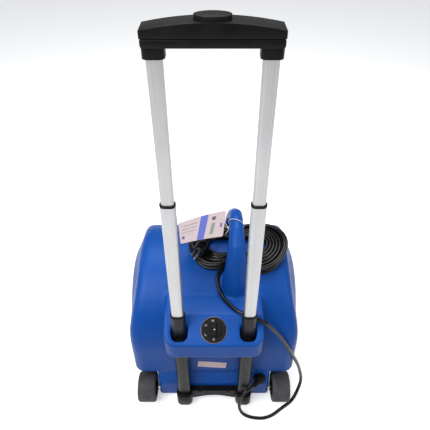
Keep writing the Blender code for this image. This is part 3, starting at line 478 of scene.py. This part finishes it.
# ---------------------------------------------------------------- mains cord
def oval_point(half, round_r, s):
    """A point on a stadium, s metres past the middle of its near side, going right."""
    straight = half - round_r
    around = math.pi * round_r
    s = s % (4 * straight + 2 * around)
    if s < straight:
        return s, -round_r
    s -= straight
    if s < around:
        a = s / round_r - math.pi / 2
        return straight + round_r * math.cos(a), round_r * math.sin(a)
    s -= around
    if s < 2 * straight:
        return straight - s, round_r
    s -= 2 * straight
    if s < around:
        a = s / round_r + math.pi / 2
        return -straight + round_r * math.cos(a), round_r * math.sin(a)
    return s - around - straight, -round_r


def drum_top(y, clear):
    """Height of the drum's crown at a depth y, plus a clearance."""
    return FAN_Z + math.sqrt(max(0.0, (DRUM_R + clear) ** 2 - (y - FAN_Y) ** 2))


# The hank: turns in each layer from the drum up, the spacing of its strands, and how each layer
# is turned (degrees), shifted, and pressed inwards by the carry handle's far leg.
LAYERS = (6, 6, 2)
PITCH, LAYER_RISE = 0.0089, 0.0091
LAYER_TILT = (0.0, 1.6, -2.6)
LAYER_SHIFT = ((0.0, 0.0), (0.0010, 0.0), (0.0030, -0.0010))
FAR_PINCH = (0.0030, 0.0090, 0.0160)
HANK_TURNS = sum(LAYERS)
TURN_BEGINS, HANK_START_TURN, HANK_END_SHORT = 0.05, 0.10, 0.52
STEPS_PER_TURN = 56
LAYER_CHANGE = 0.4
STRAND_GAP, DRUM_GAP = 0.0004, 0.0010
# The near leg pushes the outer strands back, onto the ones inside them.
NEAR_LEG_Y, LEG_REACH, NEAR_PINCH_FADE = 0.1362, 0.036, 0.010
# The hank rises over the cord that leads into it, and lifts off the drum at its right end.
LEAD_X, LEAD_REACH, LEAD_RISE, LEAD_Y, LEAD_FADE = 0.016, 0.028, 0.0088, 0.160, 0.02
LIFT_X, LIFT_RUN, LIFT_RISE = 0.115, 0.06, 0.0022
SWAY, SWAY_RUN, SWAY_WAVE, SWAY_BY_LAYER, SWAY_BY_COLUMN = 0.0008, 0.06, 7.0, 2.1, 1.3
PATH_SPACING, CORD_SPACING, EASING_ROUNDS = 0.006, 0.0055, 5


def hank_place(turn):
    """The layer, the turns already in it and how many columns in from the outside."""
    layer = 0
    while layer < len(LAYERS) - 1 and turn >= LAYERS[layer]:
        turn -= LAYERS[layer]
        layer += 1
    columns = LAYERS[layer]
    turn = min(max(turn, 0.0), columns)
    inward = turn if layer % 2 == 0 else columns - turn
    return layer, turn, inward * (columns - 1) / columns


def hank_point(turn):
    """The cord's centre after a number of turns, laid in layers that work in and out."""
    layer, along, column = hank_place(turn)
    inset = CORD_R + STRAND_GAP + PITCH * column
    half, round_r = HANK_HALF[0] - inset, HANK_HALF[1] - inset
    perimeter = 4 * (half - round_r) + math.tau * round_r
    x, y = oval_point(half, round_r, (turn - TURN_BEGINS) % 1.0 * perimeter)
    change = min(1.0, max(0.0, (along - (LAYERS[layer] - LAYER_CHANGE)) / LAYER_CHANGE))
    after = min(layer + 1, len(LAYERS) - 1)

    def blended(values):
        return values[layer] + (values[after] - values[layer]) * change

    tilt = math.radians(blended(LAYER_TILT))
    x, y = x * math.cos(tilt) - y * math.sin(tilt), x * math.sin(tilt) + y * math.cos(tilt)
    x += HANK_CENTRE[0] + blended([shift[0] for shift in LAYER_SHIFT])
    y += HANK_CENTRE[1] + blended([shift[1] for shift in LAYER_SHIFT])
    near_handle = math.exp(-((x - HANDLE_X) / LEG_REACH) ** 2)
    if y < HANK_CENTRE[1]:
        outer = HANK_CENTRE[1] - HANK_HALF[1] + CORD_R
        fade = max(0.0, 1.0 - NEAR_PINCH_FADE * column / PITCH / 2)
        y += near_handle * (NEAR_LEG_Y - outer) * fade
    else:
        y -= near_handle * blended(FAR_PINCH)
    rise = layer + change
    lift = LIFT_RISE * max(0.0, (x - LIFT_X) / LIFT_RUN) * rise
    sway = SWAY * math.sin(SWAY_WAVE * x / SWAY_RUN + rise * SWAY_BY_LAYER + column * SWAY_BY_COLUMN)
    near_side = max(0.0, min(1.0, (LEAD_Y - y) / LEAD_FADE))
    over_lead = LEAD_RISE * math.exp(-((x - LEAD_X) / LEAD_REACH) ** 2) * near_side
    z = drum_top(y, DRUM_GAP) + CORD_R + LAYER_RISE * rise + lift + sway + over_lead
    return Vector((x, y, z))


def cord_path():
    """From the gland, over the floor and up to the hank, round it, and into the plug."""
    first = round(STEPS_PER_TURN * HANK_START_TURN)
    last = round(STEPS_PER_TURN * (HANK_TURNS - HANK_END_SHORT))
    turns = [hank_point(i / STEPS_PER_TURN) for i in range(first, last)]
    lead = smooth_path(CORD_ROUTE + CORD_INTO_HANK + [turns[0]], PATH_SPACING)
    into_plug = smooth_path([turns[-1]] + CORD_INTO_PLUG + [PLUG_TAIL], PATH_SPACING)
    eased = evened(lead + turns[1:-1] + into_plug, CORD_SPACING, EASING_ROUNDS)
    return [at(*p) for p in eased]


def mains_cord():
    path = cord_path()
    obj = rod("mains_cable", [path], CORD_R, 4)
    piece(obj, JACKET)
    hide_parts("mains_cord", "cord_hank")
    return obj


def ribbed_plug():
    """The moulded plug: a tapering tail with grip ribs and a rounded head."""
    axis = (PLUG_FACE - PLUG_TAIL).normalized()
    length = (PLUG_FACE - PLUG_TAIL).length
    profile = [(0.0046, 0.0), (0.0062, 0.0008)]
    for i in range(7):
        base = 0.0030 + 0.0034 * i
        wide = 0.0066 + 0.00045 * i
        profile += [(wide - 0.0009, base), (wide, base + 0.0007), (wide, base + 0.0019),
                    (wide - 0.0009, base + 0.0026)]
    profile += [(0.0106, 0.0290), (0.0122, 0.0345), (0.0130, 0.0370)]
    for i in range(4):
        base = 0.0385 + 0.0032 * i
        profile += [(0.0134, base), (0.0144, base + 0.0006), (0.0144, base + 0.0018),
                    (0.0134, base + 0.0024)]
    profile += [(0.0143, 0.0530), (0.0144, length - 0.0030), (0.0138, length - 0.0010),
                (0.0125, length)]
    obj = lathe("plug_moulding", profile, at(*PLUG_TAIL), axis, 40)
    piece(obj, JACKET)
    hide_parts("plug_body")
    return obj


cable = mains_cord()
plug = ribbed_plug()


# ---------------------------------------------------------------- CAD nodes
def smoothing_group(name, angle):
    """Geometry nodes: weld the facets and shade smooth, keeping edges over the angle sharp."""
    group = bpy.data.node_groups.new(name, "GeometryNodeTree")
    group.interface.new_socket("Geometry", in_out="INPUT", socket_type="NodeSocketGeometry")
    group.interface.new_socket("Geometry", in_out="OUTPUT", socket_type="NodeSocketGeometry")
    source = group.nodes.new("NodeGroupInput")
    weld = group.nodes.new("GeometryNodeMergeByDistance")
    weld.inputs["Distance"].default_value = 0.00001
    plain = group.nodes.new("GeometryNodeRemoveAttribute")
    plain.inputs["Name"].default_value = "custom_normal"
    faces = group.nodes.new("GeometryNodeSetShadeSmooth")
    edges = group.nodes.new("GeometryNodeSetShadeSmooth")
    edges.domain = "EDGE"
    edges.inputs["Shade Smooth"].default_value = False
    bend = group.nodes.new("GeometryNodeInputMeshEdgeAngle")
    sharp = group.nodes.new("FunctionNodeCompare")
    sharp.inputs[1].default_value = angle
    result = group.nodes.new("NodeGroupOutput")
    links = group.links
    links.new(source.outputs[0], plain.inputs[0])
    links.new(plain.outputs[0], weld.inputs[0])
    links.new(weld.outputs[0], faces.inputs[0])
    links.new(faces.outputs[0], edges.inputs[0])
    links.new(bend.outputs[0], sharp.inputs[0])
    links.new(sharp.outputs[0], edges.inputs["Selection"])
    links.new(edges.outputs[0], result.inputs[0])
    return group


SMOOTHING = smoothing_group("weld_and_smooth", math.radians(33))


def finish_node(name, finish, edge=0.0):
    """A better finish on a CAD node, with its round faces smooth and its edges eased."""
    node = NODES[name]
    for i in range(len(node.data.materials)):
        node.data.materials[i] = finish
    if node.hide_render:
        return
    node.modifiers.new("weld_and_smooth", "NODES").node_group = SMOOTHING
    if edge:
        ease = node.modifiers.new("eased_edges", "BEVEL")
        ease.width = edge
        ease.segments = 2
        ease.limit_method = "ANGLE"
        ease.angle_limit = math.radians(40)
        ease.harden_normals = True
        ease.use_clamp_overlap = True


def both(*stems):
    """The left and the right name of each stem."""
    return [f"{stem}_{side}" for stem in stems for side in ("left", "right")]


def finish_nodes():
    """Every CAD node gets its finish, and the width its sharp edges are eased by."""
    looks = {
        "grip_cover": (GRIP_NYLON, 0), "grip_base": (GRIP_NYLON, 0), "release_button": (NYLON, 0.0005),
        "release_yoke": (NYLON, 0.0003), "switch_plate": (NYLON, 0.0004), "switch_knob": (NYLON, 0.0005),
        "switch_body": (NYLON, 0.0004), "cord_gland": (NYLON, 0.0003), "bottom_bracket": (NYLON, 0.0005),
        "impeller": (NYLON, 0), "outlet_grille": (NYLON, 0.0003), "motor_body": (ENAMEL, 0.0005),
        "run_capacitor": (ENAMEL, 0.0005), "motor_shaft": (ZINC, 0.0003), "motor_bracket": (ZINC, 0.0003),
        "axle": (ZINC, 0.0003), "button_spring": (ZINC, 0), "plug_blade_line": (ZINC, 0.0002),
        "plug_blade_neutral": (ZINC, 0.0002), "plug_ground_pin": (ZINC, 0.0003),
        "rating_label": (LABEL, 0), "housing_left": (BLUE, 0), "housing_right": (BLUE, 0),
        "carry_handle": (BLUE, 0)}
    for stems, finish, edge in (
            (("intake_grille",), NYLON, 0), (("collar",), NYLON, 0.0003), (("guide_bush",), NYLON, 0.0003),
            (("wheel_hub",), NYLON, 0.0005), (("outer_tube",), COATED, 0.0002),
            (("middle_tube", "upper_tube"), SILVER, 0.0002), (("tyre",), RUBBER, 0.0008),
            (("front_foot",), RUBBER, 0.0006),
            (("axle_cap", "release_rod"), ZINC, 0.0002),
            (("bracket_screw", "grip_screw", "grille_screw_top", "grille_screw_bottom"),
             DARK_SCREW, 0.0002)):
        for name in both(*stems):
            looks[name] = (finish, edge)
    for name, (finish, edge) in looks.items():
        finish_node(name, finish, edge)


# ---------------------------------------------------------------- housing
CUT_HALF_WIDTH = 0.0004
WELD = 0.00001
FOOT_ZONE, FOOT_SINK = 0.0012, 0.0030
CORNER_VOXEL, CORNER_ROUNDS = 0.0027, 9
SEAM_R, SEAM_PROUD = 0.00042, 0.0001


def close_cut(shape):
    """Joins the two halves over the narrow cut between them."""
    cut = [f for f in shape.faces if all(abs(v.co.x - SEAM_X) < CUT_HALF_WIDTH for v in f.verts)]
    bmesh.ops.delete(shape, geom=cut, context="FACES")
    rims = [v for v in shape.verts if v.is_boundary]
    for vertex in rims:
        vertex.co.x = SEAM_X
    bmesh.ops.remove_doubles(shape, verts=rims, dist=1.5 * CUT_HALF_WIDTH)
    bmesh.ops.holes_fill(shape, edges=[e for e in shape.edges if e.is_boundary])


def sunk_handle():
    """The carry handle's mesh, with its feet pushed through the drum's wall."""
    shape = bmesh.new()
    shape.from_mesh(NODES["carry_handle"].data)
    axis = at(0, FAN_Y, FAN_Z)
    for vertex in shape.verts:
        out = Vector((0, vertex.co.y - axis.y, vertex.co.z - axis.z))
        if out.length < DRUM_R + FOOT_ZONE:
            vertex.co -= out.normalized() * FOOT_SINK
    return shape


def moulded_housing():
    """The drum, console, base and carry handle as one moulding, with filled-in corners."""
    shape = bmesh.new()
    for name in ("housing_left", "housing_right"):
        shape.from_mesh(NODES[name].data)
    bmesh.ops.remove_doubles(shape, verts=shape.verts, dist=WELD)
    close_cut(shape)
    handle = bpy.data.meshes.new("handle_source")
    feet = sunk_handle()
    bmesh.ops.remove_doubles(feet, verts=feet.verts, dist=WELD)
    feet.to_mesh(handle)
    feet.free()
    shape.from_mesh(handle)
    source = from_bmesh("housing_source", shape)
    voxels = source.modifiers.new("voxels", "REMESH")
    voxels.mode = "VOXEL"
    voxels.voxel_size = CORNER_VOXEL
    voxels.use_smooth_shade = True
    soft = source.modifiers.new("soften", "SMOOTH")
    soft.factor = 0.5
    soft.iterations = CORNER_ROUNDS
    bpy.context.view_layer.update()
    graph = bpy.context.evaluated_depsgraph_get()
    mesh = bpy.data.meshes.new_from_object(source.evaluated_get(graph))
    mesh.shade_smooth()
    bpy.data.objects.remove(source, do_unlink=True)
    obj = piece(add("moulded_housing", mesh), BLUE)
    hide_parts("housing_left", "housing_right", "carry_handle")
    return obj


def tree_of(obj):
    """The object's faces, ready for rays to be cast at."""
    return BVHTree.FromPolygons([v.co for v in obj.data.vertices],
                                [tuple(p.vertices) for p in obj.data.polygons])


def mould_seam(tree):
    """The thin parting line down the console's panel and lip, and down the rear wall."""
    centre = at(SEAM_X, 0.034, 0.300)
    outside = 0.20
    lip_z, wall_z, wall_step = 0.2600, 0.250, 0.0034
    over = []
    for step in range(46):
        angle = math.radians(97 + 2.35 * step)
        out = Vector((0.0, math.cos(angle), math.sin(angle)))
        place, normal, _, _ = tree.ray_cast(centre + out * outside, -out)
        if place is not None and (place + normal * SEAM_PROUD).z > lip_z:
            over.append(place + normal * SEAM_PROUD)
    down = []
    for step in range(40):
        start = at(SEAM_X, -outside, wall_z - wall_step * step)
        place, normal, _, _ = tree.ray_cast(start, Vector((0, 1, 0)))
        if place is not None:
            down.append(place + normal * SEAM_PROUD)
    piece(rod("mould_seam", [over, down], SEAM_R, 2), BLUE)


# ---------------------------------------------------------------- switch
def heights_of(node):
    """How far each of the node's vertices stands above the dial's centre, square to the panel."""
    return [(v.co - DIAL_CENTRE).dot(DIAL_NORMAL) for v in NODES[node].data.vertices]


def dial_place(x, up, height):
    """A point on the dial: to the right, up the panel and square to it."""
    return DIAL_CENTRE + Vector((1, 0, 0)) * x + DIAL_UP * up + DIAL_NORMAL * height


def dial_marks():
    """Four generic speed marks round the plate, a small pointer on the knob, and the rim."""
    plate = max(heights_of("switch_plate"))
    knob = max(heights_of("switch_knob"))
    reach = 0.0196
    size = 0.0024
    rim_r = 0.0277
    strokes = []

    def mark(angle, lines):
        cx, cy = reach * math.cos(math.radians(angle)), reach * math.sin(math.radians(angle))
        for line in lines:
            strokes.append([dial_place(cx + size * x, cy + size * y, plate + 0.00005) for x, y in line])

    mark(270, [[(0.8 * math.cos(a), math.sin(a)) for a in (math.tau * i / 20 for i in range(21))]])
    mark(210, [[(-0.7, 1.0), (-0.7, -0.9), (0.8, -0.9)]])
    mark(150, [[(-0.9, -1.0), (-0.7, 0.9), (0.0, -0.3), (0.7, 0.9), (0.9, -1.0)]])
    mark(96, [[(-0.7, -1.0), (-0.7, 1.0)], [(0.7, -1.0), (0.7, 1.0)], [(-0.7, 0.0), (0.7, 0.0)]])
    piece(rod("speed_marks", strokes, 0.00042, 2), INK)
    shape = bmesh.new()
    corners = [shape.verts.new(dial_place(x, y, knob + 0.00012))
               for x, y in ((0.0030, 0.0015), (-0.0008, 0.0), (0.0030, -0.0015))]
    face = shape.faces.new(corners)
    sides = bmesh.ops.extrude_face_region(shape, geom=[face])
    bmesh.ops.translate(shape, vec=DIAL_NORMAL * -0.0003,
                        verts=[v for v in sides["geom"] if isinstance(v, bmesh.types.BMVert)])
    bmesh.ops.recalc_face_normals(shape, faces=shape.faces)
    piece(from_bmesh("knob_pointer", shape, False), INK, "knob")
    rim_height = max(min(heights_of("switch_plate")), 0.0) + 0.0005
    rim = [dial_place(rim_r * math.cos(a), rim_r * math.sin(a), rim_height)
           for a in (math.tau * i / 72 for i in range(72))]
    piece(rod("switch_rim", [rim], 0.0006, 3, closed=True), RIM)


# ---------------------------------------------------------------- tag
TAG_CORNERS = (at(-0.0734, 0.1330, 0.4500), at(0.0200, 0.1355, 0.4705),
               at(0.0277, 0.1937, 0.4955), at(-0.0827, 0.1950, 0.4550))


def tag_point(u, v):
    """A point on the bowed card, u from left to right and v from near to far."""
    near_left, near_right, far_right, far_left = TAG_CORNERS
    flat = ((near_left * (1 - u) + near_right * u) * (1 - v)
            + (far_left * (1 - u) + far_right * u) * v)
    return flat + Vector((0, 0, 0.0035 * math.sin(math.pi * u) * (0.6 + 0.4 * v)
                          - 0.0020 * math.sin(math.pi * v)))


def hang_tag():
    """A printed card with round corners, a little bowed."""
    across, deep = 60, 30
    shape = bmesh.new()
    layer = shape.loops.layers.uv.new("card")
    grid = [[shape.verts.new(tag_point(i / across, j / deep)) for i in range(across + 1)]
            for j in range(deep + 1)]
    for j in range(deep):
        for i in range(across):
            if (i in (0, across - 1)) and (j in (0, deep - 1)):
                continue
            face = shape.faces.new((grid[j][i], grid[j][i + 1], grid[j + 1][i + 1], grid[j + 1][i]))
            for loop, (a, b) in zip(face.loops, ((i, j), (i + 1, j), (i + 1, j + 1), (i, j + 1))):
                loop[layer].uv = (a / across, b / deep)
    loose = [v for v in shape.verts if not v.link_faces]
    bmesh.ops.delete(shape, geom=loose, context="VERTS")
    obj = from_bmesh("printed_tag", shape)
    thick = obj.modifiers.new("thickness", "SOLIDIFY")
    thick.thickness = 0.0005
    thick.offset = 0.0
    piece(obj, TAG)
    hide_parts("hang_tag")


def tag_loop():
    """White string: from the tag's corner, round the carry handle, back to a small knot."""
    hole = tag_point(0.945, 0.60)
    ring = []
    middle = Vector((HANDLE_X, 0.1630, 0.4822))
    along = Vector((0.0, 0.97, 0.22)).normalized()
    side = Vector((1, 0, 0))
    up = side.cross(along).normalized()
    radius = 0.0172
    for i in range(40):
        a = math.tau * i / 40 + math.pi
        ring.append(at(*(middle + side * radius * math.cos(a) + up * radius * math.sin(a)
                         - along * 0.006 * math.cos(a))))
    on_ring = at(*(middle + side * -radius * 0.86 + up * radius * -0.62))
    knot = on_ring + Vector((-0.0035, -0.004, 0.002))
    first = [hole, hole.lerp(knot, 0.35) + Vector((0, 0, 0.004)),
             hole.lerp(knot, 0.75) + Vector((0, 0, 0.003)), knot]
    second = [hole + Vector((0, 0, -0.001)), hole.lerp(knot, 0.4) + Vector((0.001, -0.004, -0.003)),
              hole.lerp(knot, 0.8) + Vector((0.001, -0.002, -0.002)), knot]
    tail = [knot, knot + Vector((0.002, -0.004, 0.001)), knot + Vector((-0.001, -0.009, -0.003)),
            knot + Vector((-0.006, -0.013, -0.008))]
    bow = [knot + Vector((0.0018 * math.cos(a), 0.0012 * math.sin(a), 0.0018 * math.sin(a + 0.7)))
           for a in (math.tau * i / 14 for i in range(15))]
    paths = [smooth_path(p, 0.002) for p in (first, second, tail, bow)]
    obj = rod("tag_thread", paths + [ring + [ring[0]]], 0.00065, 2)
    piece(obj, STRING)
    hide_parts("tag_string")


# ---------------------------------------------------------------- studio
def area_light(name, location, target, size, energy):
    data = bpy.data.lights.new(name, "AREA")
    data.shape = "RECTANGLE"
    data.size, data.size_y = size
    data.energy = energy
    light = add(name, data)
    light.location = location
    light.rotation_euler = (Vector(target) - Vector(location)).to_track_quat("-Z", "Y").to_euler()


def studio():
    """White paper on the floor, a faint sky and three soft boxes."""
    bpy.ops.mesh.primitive_plane_add(size=14.0, location=(0, 0, -0.0008))
    floor = bpy.context.object
    floor.name = "studio_floor"
    floor.data.materials.append(studio_floor())
    floor.visible_diffuse = False
    world = bpy.data.worlds.new("studio")
    world.use_nodes = True
    background = world.node_tree.nodes["Background"]
    background.inputs["Color"].default_value = (0.93, 0.96, 1.0, 1.0)
    background.inputs["Strength"].default_value = 0.32
    bpy.context.scene.world = world
    area_light("softbox_key", (-1.1, -1.3, 2.3), (0, 0, 0.3), (1.5, 1.5), 56)
    area_light("softbox_fill", (1.6, -1.0, 1.7), (0, 0, 0.4), (1.2, 1.6), 12)
    area_light("softbox_top", (0.1, 0.7, 2.5), (0, 0, 0.4), (1.6, 1.2), 34)
    bpy.context.scene.view_settings.view_transform = "Standard"


housing = moulded_housing()
finish_nodes()
mould_seam(tree_of(housing))
dial_marks()
hang_tag()
tag_loop()
studio()
